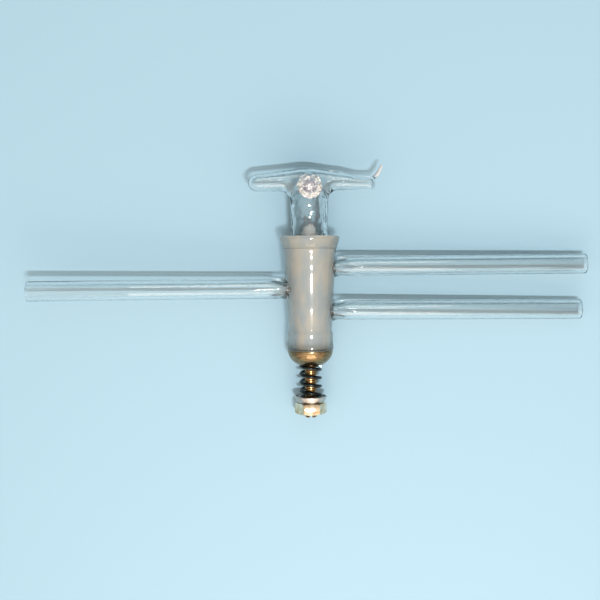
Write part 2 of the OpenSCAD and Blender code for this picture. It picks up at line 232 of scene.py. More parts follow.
# Levels along the barrel where its outside swells or narrows a little, and by how much
HAND_WAVES = [
    (-24.2, 0.0), (-22.5, 0.0), (-21, -0.06), (-20, -0.005), (-18, 0.32), (-17, -0.08),
    (-16, 0.0), (-15, 0.045), (-9, 0.15), (-8, 0.14), (-3, -0.078), (-1, -0.134),
    (2, -0.114), (6, -0.069), (8, -0.121), (9, -0.079), (12, -0.147), (14, -0.159),
    (15, -0.239), (16, -0.344), (18.5, 0.0),
]
# Unevenness of hand work on the neck's wall: height of the waves, and how many to 1 mm
NECK_RIPPLES = [(0.22, 0.2), (0.1, 0.5), (0.06, 1.1)]

key_end = (reach("key")[0] / MM).z
cap_low, cap_high = (corner / MM for corner in reach("dome_cap"))
spring_low, spring_high = (corner / MM for corner in reach("spring"))
cup_low, cup_high = (corner / MM for corner in reach("spring_cup"))
nut_low, nut_high = (corner / MM for corner in reach("clamp_nut"))
stud_low, stud_high = (corner / MM for corner in reach("stud"))


def cone_r(z):
    """Radius of the ground cone at a level."""
    return CONE_R + z * CONE_SLOPE


def neck_at(z):
    """Radius of the blown neck at a level."""
    share = ease((z - KEY_TOP) / (NECK_TOP - KEY_TOP))
    return NECK_R - NECK_WAIST * math.sin(math.pi * share)


def bar_r(x):
    """Radius of the plain crossbar at a distance along it."""
    share = ease((x + BAR_LEFT) / (BAR_LEFT + BAR_RIGHT))
    return BAR_R_LEFT + (BAR_R_RIGHT - BAR_R_LEFT) * share


def droop(x):
    """How far the crossbar's top lies below its plain form, towards the two ends."""
    narrowed = 1 - (BAR_RIGHT - DROOP_RIGHT_END - x) / DROOP_RIGHT_RUN
    return DROOP_LEFT * ease(
        (DROOP_LEFT_RUN - BAR_LEFT - x) / DROOP_LEFT_RUN
    ) + DROOP_RIGHT * ease(narrowed)


def fillet_drop(x):
    """How far the fillet under the crossbar hangs below it."""
    run = min(BAR_FILLET, max(0.0, NECK_R + BAR_FILLET - abs(x)))
    return BAR_FILLET - math.sqrt(BAR_FILLET**2 - run**2)


def hand_wave(z):
    """How far the barrel's outside stands off its plain form at a level."""
    for (low, start), (high, stop) in zip(HAND_WAVES, HAND_WAVES[1:]):
        if low <= z <= high:
            return start + (stop - start) * (z - low) / (high - low)
    return 0.0


# ---- Materials ----------------------------------------------------------------------

GLASS_IOR = 1.47


def sheet_colour(code):
    """Linear colour from an sRGB hex value."""
    parts = [int(code[i : i + 2], 16) / 255 for i in (1, 3, 5)]
    return (*(c / 12.92 if c <= 0.04045 else ((c + 0.055) / 1.055) ** 2.4 for c in parts), 1)


def add(tree, kind, links=None, **settings):
    """Adds a node with its socket values, settings and links."""
    node = tree.nodes.new(kind)
    for key, value in settings.items():
        if key in node.inputs.keys():
            node.inputs[key].default_value = value
        else:
            setattr(node, key, value)
    for socket, source in (links or {}).items():
        tree.links.new(source, node.inputs[socket])
    return node


def material(name):
    """An empty node material with its output."""
    made = bpy.data.materials.new(name)
    made.use_nodes = True
    made.node_tree.nodes.clear()
    tree = made.node_tree
    return made, tree, add(tree, "ShaderNodeOutputMaterial")


def upright_coordinates(tree, stretch=(1, 1, 1)):
    """Object coordinates turned into the key's own frame, in millimetres."""
    place = add(tree, "ShaderNodeTexCoord").outputs["Object"]
    turned_back = add(
        tree,
        "ShaderNodeMapping",
        {"Vector": place},
        Location=UPRIGHT.to_translation() / MM,
        Rotation=UPRIGHT.to_euler(),
        Scale=(1 / MM, 1 / MM, 1 / MM),
    )
    return add(
        tree, "ShaderNodeMapping", {"Vector": turned_back.outputs[0]}, Scale=stretch
    ).outputs[0]


def let_lamps_through(tree, surface, output, middle, edge):
    """Lets lamps and soft light shine through glass, but not where the wall lies edge-on to
    them and bends their light away, so its shadow has a light middle between dark lines."""
    facing = add(tree, "ShaderNodeLayerWeight", Blend=0.5).outputs["Facing"]
    steep = add(tree, "ShaderNodeMapRange", {"Value": facing})
    steep.inputs["From Min"].default_value = 0.2
    steep.inputs["From Max"].default_value = 0.42
    tint = add(tree, "ShaderNodeMix", {"Factor": steep.outputs[0]}, data_type="RGBA")
    tint.inputs[6].default_value = sheet_colour(middle)
    tint.inputs[7].default_value = sheet_colour(edge)
    clear = add(tree, "ShaderNodeBsdfTransparent", {"Color": tint.outputs[2]})
    ray = add(tree, "ShaderNodeLightPath")
    soft = add(
        tree,
        "ShaderNodeMixShader",
        {"Fac": ray.outputs["Is Diffuse Ray"], 1: surface, 2: clear.outputs[0]},
    )
    hard = add(
        tree,
        "ShaderNodeMixShader",
        {"Fac": ray.outputs["Is Shadow Ray"], 1: soft.outputs[0], 2: clear.outputs[0]},
    )
    tree.links.new(hard.outputs[0], output.inputs["Surface"])


def clear_glass(name, wave, lift, stretch=(1, 1, 1), ripple=0.0, gloss=0.02, edge="#5C6A72"):
    """Clear lab glass: smooth and sharply glossy, with slow waves in its wall, and a finer
    ripple where it was worked in the flame, that break up the highlights. A wave is its
    length in millimetres and a lift its height."""
    made, tree, output = material(name)
    place = upright_coordinates(tree, stretch)
    slow = add(tree, "ShaderNodeTexNoise", {"Vector": place}, Scale=1 / wave, Detail=1.0)
    bump = add(
        tree,
        "ShaderNodeBump",
        {"Height": slow.outputs["Fac"]},
        Strength=1.0,
        Distance=lift * MM,
    )
    if ripple:
        fine = add(tree, "ShaderNodeTexNoise", {"Vector": place}, Scale=4 / wave, Detail=2.0)
        bump = add(
            tree,
            "ShaderNodeBump",
            {"Height": fine.outputs["Fac"], "Normal": bump.outputs[0]},
            Strength=1.0,
            Distance=ripple * MM,
        )
    glass = add(tree, "ShaderNodeBsdfPrincipled", {"Normal": bump.outputs[0]})
    glass.inputs["Base Color"].default_value = sheet_colour("#F8FAFA")
    glass.inputs["Roughness"].default_value = gloss
    glass.inputs["IOR"].default_value = GLASS_IOR
    glass.inputs["Transmission Weight"].default_value = 1.0
    let_lamps_through(tree, glass.outputs[0], output, "#F9FBFB", edge)
    return made


def ground_glass(name, cool, warm, clearness):
    """Glass ground with fine grit and greased: a soft warm grey that hides what is behind.
    Its clearness is the share of light that goes through."""
    made, tree, output = material(name)
    place = upright_coordinates(tree)
    # Grains of a third of a millimetre, coarser than real grit, so that they show
    grit = add(tree, "ShaderNodeTexNoise", {"Vector": place}, Scale=3.0, Detail=4.0)
    # The grease lies in clouds of about 4 mm, drawn out along the key
    clouds = add(
        tree,
        "ShaderNodeTexNoise",
        {"Vector": upright_coordinates(tree, (1, 1, 0.4))},
        Scale=0.25,
        Detail=3.0,
    )
    ramp = add(tree, "ShaderNodeValToRGB", {"Fac": clouds.outputs["Fac"]})
    ramp.color_ramp.elements[0].position = 0.35
    ramp.color_ramp.elements[0].color = sheet_colour(cool)
    ramp.color_ramp.elements[1].position = 0.65
    ramp.color_ramp.elements[1].color = sheet_colour(warm)
    # The grinding ends in a fine dark line under the mouth, which is a little greyer
    level = add(tree, "ShaderNodeSeparateXYZ", {"Vector": place}).outputs["Z"]
    mouth = add(tree, "ShaderNodeMapRange", {"Value": level})
    mouth.inputs["From Min"].default_value = BARREL_UP - MOUTH_DEPTH - 0.5
    mouth.inputs["From Max"].default_value = BARREL_UP - MOUTH_DEPTH + 1.5
    band = add(tree, "ShaderNodeValToRGB", {"Fac": mouth.outputs[0]})
    band.color_ramp.elements[0].position = 0.16
    band.color_ramp.elements[0].color = sheet_colour("#FFFFFF")
    band.color_ramp.elements[1].position = 0.42
    band.color_ramp.elements[1].color = sheet_colour("#E6E9EA")
    for spot in (0.2, 0.3):
        band.color_ramp.elements.new(spot).color = sheet_colour("#C6C5C3")
    # Painted warm glow: the foot's last 3 mm are tinted as if light from the brass cap shone through them
    foot = add(tree, "ShaderNodeMapRange", {"Value": level})
    foot.inputs["From Min"].default_value = -BARREL_DOWN
    foot.inputs["From Max"].default_value = 3 - BARREL_DOWN
    painted_cap_glow = add(tree, "ShaderNodeValToRGB", {"Fac": foot.outputs[0]})
    painted_cap_glow.color_ramp.elements[0].color = sheet_colour("#E2D2B8")
    painted_cap_glow.color_ramp.elements[1].color = sheet_colour("#FFFFFF")
    ground = ramp.outputs[0]
    for tint in (band, painted_cap_glow):
        mixed = add(
            tree,
            "ShaderNodeMix",
            {6: ground, 7: tint.outputs[0]},
            data_type="RGBA",
            blend_type="MULTIPLY",
        )
        mixed.inputs["Factor"].default_value = 1.0
        ground = mixed.outputs[2]
    bump = add(
        tree,
        "ShaderNodeBump",
        {"Height": grit.outputs["Fac"]},
        Strength=0.3,
        Distance=0.04 * MM,
    )
    glass = add(
        tree,
        "ShaderNodeBsdfPrincipled",
        {"Base Color": ground, "Normal": bump.outputs[0]},
    )
    glass.inputs["Roughness"].default_value = 0.5
    glass.inputs["IOR"].default_value = GLASS_IOR
    glass.inputs["Specular IOR Level"].default_value = 0.0
    glass.inputs["Transmission Weight"].default_value = clearness
    let_lamps_through(tree, glass.outputs[0], output, "#A8A49E", "#7C7A76")
    return made


def glass_with_painted_glitter():
    """Glass gathered in a blob where the blowing tube was sealed: its folds and trapped
    bubbles make a milky ring round a bright middle, with white and pale yellow glints painted on."""
    made, tree, output = material("Sealed borosilicate glass with painted glitter")
    place = upright_coordinates(tree)
    middle = add(
        tree,
        "ShaderNodeVectorMath",
        {"Vector": place},
        operation="SUBTRACT",
    )
    middle.inputs[1].default_value = (0, 0, LUMP_LEVEL)
    flat = add(
        tree, "ShaderNodeVectorMath", {"Vector": middle.outputs[0]}, operation="MULTIPLY"
    )
    flat.inputs[1].default_value = (1, 0, 1)
    out = add(tree, "ShaderNodeVectorMath", {"Vector": flat.outputs[0]}, operation="LENGTH")
    folds = add(tree, "ShaderNodeTexNoise", {"Vector": place}, Scale=0.75, Detail=3.0)
    folds.inputs["Distortion"].default_value = 1.5
    # The folds carry the rings in and out: a distance from the middle grows by a half on
    # average, and the rings lie between 1.5 and 8 mm of that longer distance
    wander = add(
        tree,
        "ShaderNodeMath",
        {0: folds.outputs["Fac"], 1: out.outputs["Value"], 2: out.outputs["Value"]},
        operation="MULTIPLY_ADD",
    )
    milk = add(tree, "ShaderNodeMapRange", {"Value": wander.outputs[0]})
    milk.inputs["From Min"].default_value = 1.5
    milk.inputs["From Max"].default_value = 8.0
    # Painted glitter: the white and pale yellow rings stand for sparkles of light on the mauve-grey milky glass
    ring = add(tree, "ShaderNodeValToRGB", {"Fac": milk.outputs[0]})
    ring.color_ramp.elements[0].position = 0.12
    ring.color_ramp.elements[0].color = sheet_colour("#D9D2DA")
    ring.color_ramp.elements[1].position = 0.98
    ring.color_ramp.elements[1].color = sheet_colour("#F8FAFA")
    for spot, colour in (
        (0.34, "#CDC8D0"),
        (0.48, "#E6E0E4"),
        (0.56, "#FFFFFF"),
        (0.64, "#F2E8C8"),
        (0.7, "#FFFFFF"),
        (0.76, "#E6DCE2"),
        (0.84, "#FBF8EE"),
    ):
        ring.color_ramp.elements.new(spot).color = sheet_colour(colour)
    through = add(tree, "ShaderNodeValToRGB", {"Fac": milk.outputs[0]})
    through.color_ramp.elements[0].position = 0.2
    through.color_ramp.elements[0].color = (0.6, 0.6, 0.6, 1)
    through.color_ramp.elements[1].position = 0.95
    through.color_ramp.elements[1].color = (1, 1, 1, 1)
    for spot, share in (
        (0.34, 0.7),
        (0.5, 0.6),
        (0.56, 0.1),
        (0.64, 0.5),
        (0.7, 0.1),
        (0.76, 0.6),
        (0.84, 0.3),
    ):
        through.color_ramp.elements.new(spot).color = (share, share, share, 1)
    # Bubbles of half a millimetre, drawn nearly twice as wide so that they show, are painted white as glints
    bubbles_painted_white = add(tree, "ShaderNodeTexNoise", {"Vector": place}, Scale=1.1, Detail=1.0)
    edges = add(tree, "ShaderNodeMapRange", {"Value": bubbles_painted_white.outputs["Fac"]})
    edges.inputs["From Min"].default_value = 0.56
    edges.inputs["From Max"].default_value = 0.62
    colour = add(
        tree,
        "ShaderNodeMix",
        {"Factor": edges.outputs[0], 6: ring.outputs[0]},
        data_type="RGBA",
    )
    colour.inputs[7].default_value = sheet_colour("#FFFFFF")
    clear = add(
        tree,
        "ShaderNodeMath",
        {0: through.outputs[0], 1: edges.outputs[0]},
        operation="SUBTRACT",
        use_clamp=True,
    )
    bump = add(
        tree,
        "ShaderNodeBump",
        {"Height": folds.outputs["Fac"]},
        Strength=1.0,
        Distance=0.7 * MM,
    )
    glass = add(
        tree,
        "ShaderNodeBsdfPrincipled",
        {
            "Base Color": colour.outputs[2],
            "Transmission Weight": clear.outputs[0],
            "Normal": bump.outputs[0],
        },
    )
    glass.inputs["Roughness"].default_value = 0.06
    glass.inputs["IOR"].default_value = GLASS_IOR
    let_lamps_through(tree, glass.outputs[0], output, "#F0EEEA", "#8A9296")
    return made


def solid_finish(name, dark, light, roughness, grain, stretch=(1, 1, 1), lift=0.004, metal=1.0):
    """Metal or cement whose colour and gloss vary a little, from age. The grain is how
    many patches there are to a millimetre, and the lift their height in millimetres."""
    made, tree, output = material(name)
    place = upright_coordinates(tree, stretch)
    patches = add(tree, "ShaderNodeTexNoise", {"Vector": place}, Scale=grain, Detail=5.0)
    ramp = add(tree, "ShaderNodeValToRGB", {"Fac": patches.outputs["Fac"]})
    ramp.color_ramp.elements[0].position = 0.35
    ramp.color_ramp.elements[0].color = sheet_colour(dark)
    ramp.color_ramp.elements[1].position = 0.65
    ramp.color_ramp.elements[1].color = sheet_colour(light)
    rough = add(tree, "ShaderNodeMapRange", {"Value": patches.outputs["Fac"]})
    rough.inputs["To Min"].default_value = roughness[0]
    rough.inputs["To Max"].default_value = roughness[1]
    bump = add(
        tree,
        "ShaderNodeBump",
        {"Height": patches.outputs["Fac"]},
        Strength=1.0,
        Distance=lift * MM,
    )
    body = add(
        tree,
        "ShaderNodeBsdfPrincipled",
        {
            "Base Color": ramp.outputs[0],
            "Roughness": rough.outputs[0],
            "Normal": bump.outputs[0],
        },
        Metallic=metal,
    )
    tree.links.new(body.outputs[0], output.inputs["Surface"])
    return made


# Drawn by machine: its faint waves run along the tube and its highlights are sharp lines
drawn_tubing = clear_glass("Drawn borosilicate tubing", 7.0, 0.015, (0.06, 1, 1))
# Blown by mouth: thick and thin places bend what is behind and break the highlights
blown_glass = clear_glass("Flame-blown borosilicate glass", 6.0, 0.22, ripple=0.06)
# Taken from a mould: almost even, with highlights a little blurred
cast_wall = clear_glass(
    "Moulded borosilicate glass", 9.0, 0.03, gloss=0.09, edge="#C8CED0"
)
# Ground to fit and greased: grey with warm clouds, and hardly any light goes through
frosted_glass = ground_glass("Ground borosilicate glass", "#AAB2B5", "#C2BDB2", 0.2)
# Drawn off and cooled quickly: milky white
milky_glass = ground_glass("Milky drawn-off glass", "#EEF0F0", "#F6F3EE", 0.12)
sealed_glass = glass_with_painted_glitter()
# Spun over a form and polished: a soft sheen with fine lines round it
spun_brass = solid_finish(
    "Polished spun brass", "#6A5642", "#A08A66", (0.17, 0.25), 0.5, (1, 1, 6), lift=0.001
)
# Cut with a die and left as cut: lighter and duller than the cap
thread_brass = solid_finish("Cut brass thread", "#94744A", "#C4A476", (0.24, 0.36), 1.2)
# Milled and plated: flat mirrors, with the brass showing where the plate is worn
nut_brass = solid_finish(
    "Machined brass with worn plate", "#C8A678", "#F2E6CE", (0.04, 0.1), 0.4, lift=0.014
)
# Plated and handled: pale grey and a little blurred
bright_nickel = solid_finish(
    "Bright nickel plate", "#A8A29C", "#CCC6C0", (0.26, 0.4), 0.6
)
# Hardened and blackened in oil: near black with small highlights
spring_wire = solid_finish(
    "Oil-blackened spring wire", "#22292B", "#3E4748", (0.12, 0.22), 0.8, metal=0.9
)
# Set from a paste: pale and quite matt
set_cement = solid_finish(
    "Set plaster cement", "#CFC6B2", "#E2DAC8", (0.8, 0.95), 2.0, lift=0.02, metal=0.0
)


def clothe(piece, *finishes):
    """Puts finishes on a piece, in the order of its faces' slots."""
    piece.data.materials.clear()
    for finish in finishes:
        piece.data.materials.append(finish)


# ---- Barrel and its side tubes ------------------------------------------------------


def make_barrel():
    """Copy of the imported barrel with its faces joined, ground inside and clear elsewhere."""
    # Distances from the key's axis that tell the bore, the body and the side tubes apart
    bore_within, body_within, tubing_beyond = 11.5, 12.3, 13.5
    node = frame["nodes"]["barrel"]
    piece = bpy.data.objects.new("barrel_glass", node.data.copy())
    bpy.context.scene.collection.objects.link(piece)
    piece.data.transform(UPRIGHT)
    edit(piece)
    bpy.ops.mesh.select_all(action="SELECT")
    bpy.ops.mesh.remove_doubles(threshold=0.001 * MM)
    # Rings every millimetre let the wall swell and narrow
    for level in steps(-23, 19, 42):
        bpy.ops.mesh.select_all(action="SELECT")
        bpy.ops.mesh.bisect(plane_co=(0, 0, level * MM), plane_no=(0, 0, 1))
    # Rings by the welds and the open ends keep the long tubes' shading straight
    for along in (-111.6, -75, -35, -18, -15, -13.5, 13.5, 15, 18, 35, 75, 109.4, 111.5):
        bpy.ops.mesh.select_all(action="SELECT")
        bpy.ops.mesh.bisect(plane_co=(along * MM, 0, 0), plane_no=(1, 0, 0))
    bpy.ops.object.mode_set(mode="OBJECT")
    take(piece)
    bpy.ops.mesh.customdata_custom_splitnormals_clear()
    clothe(piece, cast_wall, frosted_glass, drawn_tubing)
    for face in piece.data.polygons:
        spot = face.center / MM
        out = math.hypot(spot.x, spot.y)
        inwards = -(face.normal.x * spot.x + face.normal.y * spot.y) / out
        if out < bore_within and inwards > 0.5 and spot.z < BARREL_UP - 0.6:
            face.material_index = 1
        elif out > tubing_beyond:
            face.material_index = 2
    # The body's outside was shaped by hand and swells and narrows a little along it
    for vertex in piece.data.vertices:
        x, y, z = vertex.co / MM
        out = math.hypot(x, y)
        if cone_r(z) + 1.2 < out < body_within:
            stretch = 1 + hand_wave(z) / out
            vertex.co.x *= stretch
            vertex.co.y *= stretch
    return lay_down(piece, "barrel", ["barrel"])


# ---- Key ----------------------------------------------------------------------------


def neck_and_dome(name, wall):
    """Blown neck and the dome over it, drawn in by a wall."""
    foot = SEALED_FLOOR if wall else KEY_TOP - 3
    rise = BAR_LEVEL + 0.65 * BAR_R_LEFT - wall - NECK_TOP
    shoulder = KEY_TOP + SHOULDER_LEN
    neck = [(neck_at(max(z, shoulder)) - wall, z) for z in steps(foot, NECK_TOP, 12)]
    dome = [
        (
            (neck_at(NECK_TOP) - wall) * math.cos(math.radians(a)),
            NECK_TOP + rise * math.sin(math.radians(a)),
        )
        for a in steps(9, 87, 9)
    ]
    return turned(name, neck + dome, 80)


def crossbar(name, wall):
    """Crossbar with its hump, droops, fillets and round ends, drawn in by a wall."""
    left, right = -BAR_LEFT + wall, BAR_RIGHT - wall
    round_l, round_r = BAR_R_LEFT - wall, BAR_END_ROUND
    along = (
        [left + round_l * (1 - math.cos(math.radians(a))) for a in steps(4, 76, 6)]
        + steps(left + round_l, right - round_r, 36)
        + [right - round_r + round_r * math.sin(math.radians(a)) for a in steps(18, 86, 4)]
    )
    rings = []
    for x in along:
        near_l = math.sqrt(max(0, 1 - (max(0, left + round_l - x) / round_l) ** 2))
        past = min(1, max(0, x - right + round_r) / round_r)
        near_r = 1 - 0.5 * (1 - math.sqrt(1 - past**2))
        share, r = near_l * near_r, bar_r(x) - droop(x) / 2 - wall
        top = r + HUMP * math.exp(-((x / HUMP_RUN) ** 2))
        bottom = r + fillet_drop(x)
        middle = BAR_LEVEL - droop(x) / 2 + (top - bottom) / 2
        depth = (r + BAR_SWELL * math.exp(-((1.5 * x / HUMP_RUN) ** 2))) * share
        # The circle is turned to face along X, so its first half width lies in depth
        rings.append(
            ((x * MM, 0, middle * MM), depth * MM, (top + bottom) / 2 * share * MM)
        )
    return pull(name, rings, 40, across="X")


def lump_front():
    """How far the sealed lump reaches out in front of the key's axis."""
    return bar_r(0) + BAR_SWELL + LUMP_PROUD


def sealed_lump():
    """Lump in front of the crossbar, where the blowing tube was sealed off."""
    deselect()
    bpy.ops.mesh.primitive_uv_sphere_add(
        segments=40,
        ring_count=24,
        radius=LUMP_R * MM,
        location=(0, (LUMP_R - lump_front()) * MM, LUMP_LEVEL * MM),
    )
    bpy.ops.object.transform_apply()
    return bpy.context.object


def melt_together(piece):
    """Runs overlapping bodies of glass into one with soft corners."""
    apply(piece, "REMESH", mode="VOXEL", voxel_size=0.3 * MM)
    apply(piece, "SMOOTH", factor=0.5, iterations=5)


def ripple_neck(piece, phase):
    """Leaves the unevenness of hand work on the neck's wall, which breaks its highlights."""
    shift = Vector((phase, 0, 0))
    for vertex in piece.data.vertices:
        spot = vertex.co / MM
        out = math.hypot(spot.x, spot.y)
        share = ease((spot.z - KEY_TOP - 2) / 3) * ease((BAR_LEVEL - 3.5 - spot.z) / 4)
        if share > 0 and out > 4:
            waves = sum(lift * noise.noise(spot * rate + shift) for lift, rate in NECK_RIPPLES)
            stretch = 1 + share * waves / out
            vertex.co.x *= stretch
            vertex.co.y *= stretch


def crumple_lump(piece):
    """Works the sealed lump as the flame left it: a groove round a middle bead, a ridge
    round the groove, and a crumpled surface that glitters."""
    groove_r, ridge_r, reach_out, reach_in = 2.3, 3.5, 1.2, 1.4
    centre = Vector((0, LUMP_R - lump_front(), LUMP_LEVEL))
    for vertex in piece.data.vertices:
        spot = vertex.co / MM
        away = spot - centre
        out = math.hypot(away.x, away.z)
        if away.y > 0.6 or out > LUMP_R + reach_out or away.length < LUMP_R - reach_in:
            continue
        share = ease((LUMP_R + reach_out - out) / 1.6) * ease((0.6 - away.y) / 1.5)
        groove = -0.3 * math.exp(-(((out - groove_r) / 0.5) ** 2))
        ridge = 0.15 * math.exp(-(((out - ridge_r) / 0.6) ** 2))
        folds = 0.6 * noise.noise(spot * 0.7) + 0.5 * noise.noise(spot * 1.5)
        lift = groove + ridge + folds * min(1, out / 1.8)
        vertex.co += away.normalized() * share * lift * MM


def drawn_thread():
    """Thread of glass left where the blowing tube was drawn off, thin and bent."""
    way = Vector((math.cos(GLASS_THREAD_ANGLE), 0, math.sin(GLASS_THREAD_ANGLE)))
    down = Vector((way.z, 0, -way.x))
    corner = Vector((BAR_RIGHT, 0, BAR_LEVEL + BAR_R_RIGHT - DROOP_RIGHT))
    start = corner - 0.85 * BAR_END_ROUND * way
    tip = corner + GLASS_THREAD_LEN * way
    rings = []
    for t in steps(0, 1, 12):
        spot = start + t * (tip - start) + 4 * t * (1 - t) * GLASS_THREAD_SAG * down
        thick = 1.35 - 0.9 * t
        rings.append((spot * MM, thick * MM, thick * MM))
    return pull("thread", rings, 20)


def handle_outside():
    """Skin of the handle: neck, crossbar, lump and drawn thread run into one."""
    bodies = [neck_and_dome("key_glass", 0), crossbar("crossbar", 0), sealed_lump()]
    skin = join([join(bodies, "key_glass"), drawn_thread()], "key_glass")
    melt_together(skin)
    ripple_neck(skin, 0.6)
    crumple_lump(skin)
    return skin


def handle_hollow():
    """Space inside the handle, over the sealed floor and its pip, with its faces turned in."""
    hollow = join([neck_and_dome("hollow", BLOWN_WALL), crossbar("bore", BLOWN_WALL)], "hollow")
    pip = turned(
        "pip",
        [(PIP_R, SEALED_FLOOR - 0.1)]
        + [
            (
                PIP_R * math.sin(math.radians(a)),
                SEALED_FLOOR + PIP_H * math.cos(math.radians(a)) ** 1.2,
            )
            for a in steps(88, 5, 9)
        ],
        48,
    )
    cut(hollow, pip)
    melt_together(hollow)
    ripple_neck(hollow, 2.4)
    edit(hollow)
    bpy.ops.mesh.select_all(action="SELECT")
    bpy.ops.mesh.flip_normals()
    bpy.ops.object.mode_set(mode="OBJECT")
    return hollow


def extrude_plug(piece):
    """Ends the neck in an open rim, and extrudes the ground plug and its socket from it."""
    edit(piece)
    bpy.ops.mesh.select_all(action="SELECT")
    rim = (KEY_TOP + SHOULDER_LEN) * MM
    bpy.ops.mesh.bisect(plane_co=(0, 0, rim), plane_no=(0, 0, -1), clear_outer=True)
    bpy.ops.object.mode_set(mode="OBJECT")
    take(piece)
    for vertex in piece.data.vertices:
        vertex.select = abs(vertex.co.z - rim) < 0.001 * MM
        if vertex.select:
            flat = Vector((vertex.co.x, vertex.co.y, 0)).normalized() * NECK_R * MM
            vertex.co = (flat.x, flat.y, rim)
    bpy.ops.object.mode_set(mode="EDIT")
    bpy.ops.mesh.select_mode(type="EDGE")
    plug = [(NECK_R, KEY_TOP + 0.4 * SHOULDER_LEN)]
    plug += [(cone_r(z) - GRIND_GAP, z) for z in steps(KEY_TOP, key_end + KEY_BEVEL, 14)]
    plug += [(cone_r(key_end) - GRIND_GAP - KEY_BEVEL, key_end), (SOCKET_R, key_end)]
    plug += [(SOCKET_R, key_end + SOCKET_DEPTH)]
    radius, level = NECK_R, KEY_TOP + SHOULDER_LEN
    for r, z in plug:
        bpy.ops.mesh.extrude_region_move(
            TRANSFORM_OT_translate={"value": (0, 0, (z - level) * MM)}
        )
        by = r / radius
        bpy.ops.transform.resize(value=(by, by, 1), center_override=(0, 0, z * MM))
        radius, level = r, z
    bpy.ops.mesh.edge_face_add()
    bpy.ops.object.mode_set(mode="OBJECT")
    close_up(piece)


def bore_passages(piece):
    """Bores the two slanting passages, half a turn apart, each from the single tube's level
    to that of one of the pair, with cutters that stand out of the plug at both ends."""
    for side in (1, -1):
        start = Vector((-side * cone_r(0), 0, 0))
        stop = Vector((side * cone_r(side * PORT_STEP), 0, side * PORT_STEP))
        way = stop - start
        deselect()
        bpy.ops.mesh.primitive_cylinder_add(
            vertices=48,
            radius=PORT_R * MM,
            depth=(way.length + 6) * MM,
            location=(start + stop) / 2 * MM,
            rotation=(0, math.atan2(way.x, way.z), 0),
        )
        cut(piece, bpy.context.object)


def key_finish(spot):
    """Which of the key's finishes a face has, by its middle."""
    x, y, z = spot
    blown, ground, sealed, milky = range(4)
    if math.hypot(x, z - LUMP_LEVEL) < LUMP_R + 0.4 and y < 1 - (bar_r(0) + BAR_SWELL):
        return sealed
    if z < SEALED_FLOOR + PIP_H + 0.3 and math.hypot(x, y) < PIP_R + 0.6:
        return milky
    if x > BAR_RIGHT - 0.6 and z > BAR_LEVEL + BAR_R_RIGHT - DROOP_RIGHT - 0.3:
        return milky
    if z < KEY_TOP + 0.1 and math.hypot(x, y) > cone_r(z) - 0.3:
        return ground
    return blown


def make_key():
    """Blown handle with its hollow, over a solid ground plug with two slanting passages."""
    outside = handle_outside()
    extrude_plug(outside)
    bore_passages(outside)
    piece = join([outside, handle_hollow()], "key_glass")
    clothe(piece, blown_glass, frosted_glass, sealed_glass, milky_glass)
    for face in piece.data.polygons:
        face.material_index = key_finish(face.center / MM)
    return lay_down(piece, "key", ["key"])


# ---- Retainer -----------------------------------------------------------------------


def make_cap():
    """Spun brass dome with a flat for the spring and an open end against the foot."""
    rim_r, low, high = cap_high.x, cap_low.z, cap_high.z
    last = math.acos(CAP_FLAT_R / rim_r)
    drop = (high - low) / math.sin(last)
    outline = [(rim_r * math.cos(a), high - drop * math.sin(a)) for a in steps(0.02, last, 22)]
    worn = 0.15
    outline += [(CAP_FLAT_R - 0.4, low), (STUD_HOLE_R + worn, low), (STUD_HOLE_R, low + worn)]
    outline += [(STUD_HOLE_R, low + CAP_WALL)]
    inner_drop = drop - CAP_WALL / math.sin(last)
    outline += [
        ((rim_r - CAP_WALL) * math.cos(a), high - inner_drop * math.sin(a))
        for a in steps(last, 0.0, 14)
    ]
    outline += [(rim_r - 0.1, high), outline[0]]
    piece = turned("dome_cap_brass", outline, 96, closed=True)
    clothe(piece, spun_brass)
    return lay_down(piece, "barrel", ["dome_cap"], angle=35)


def make_spring():
    """Wire coiled round the key's axis, with a dead turn at each end, made as two stretches
    that part after the first coils."""
    sides, per_turn, lifted_coils = 14, 32, 1.25
    mean_r = spring_high.x - WIRE_R
    pitch = (spring_high.z - spring_low.z - 2 * WIRE_R) / COILS
    flat = 1 - (2 * WIRE_R + COIL_GAP) / pitch
    count = round((COILS + 2 * flat) * per_turn)
    turn = (COILS + 2 * flat) / count
    split = round((flat + lifted_coils) / turn)

    def level(i):
        """Level of the wire's middle after so many steps round the axis."""
        return spring_high.z - WIRE_R - pitch * min(COILS, max(0.0, turn * i - flat))

    def stretch_of_wire(name, first, last):
        """Wire between two steps."""
        deselect()
        bpy.ops.mesh.primitive_circle_add(
            vertices=sides,
            radius=WIRE_R * MM,
            fill_type="NGON",
            enter_editmode=True,
            location=(mean_r * MM, 0, level(first) * MM),
            rotation=(math.pi / 2, 0, 0),
        )
        piece = bpy.context.object
        piece.name = piece.data.name = name
        swing = {"orient_axis": "Z", "orient_type": "GLOBAL", "center_override": (0, 0, 0)}
        bpy.ops.transform.rotate(value=-2 * math.pi * turn * first, **swing)
        for i in range(first + 1, last + 1):
            bpy.ops.mesh.extrude_region_move(
                TRANSFORM_OT_translate={"value": (0, 0, (level(i) - level(i - 1)) * MM)}
            )
            bpy.ops.transform.rotate(value=-2 * math.pi * turn, **swing)
        bpy.ops.object.mode_set(mode="OBJECT")
        bpy.ops.object.transform_apply(location=True, rotation=True, scale=True)
        close_up(piece)
        clothe(piece, spring_wire)
        piece = lay_down(piece, None, ["spring"])
        # The wire is drawn in to its middle line while its place is baked in, and then set back round
        round_wire = [vertex.co.copy() for vertex in piece.data.vertices]
        for ring in range(0, len(round_wire), sides):
            middle = sum(round_wire[ring : ring + sides], Vector()) / sides
            for vertex in piece.data.vertices[ring : ring + sides]:
                vertex.co = middle
        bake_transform(piece)
        for vertex, spot in zip(piece.data.vertices, round_wire):
            vertex.co = spot

    stretch_of_wire("coil_spring_cap_end", 0, split)
    stretch_of_wire("coil_spring_cup_end", split, count)


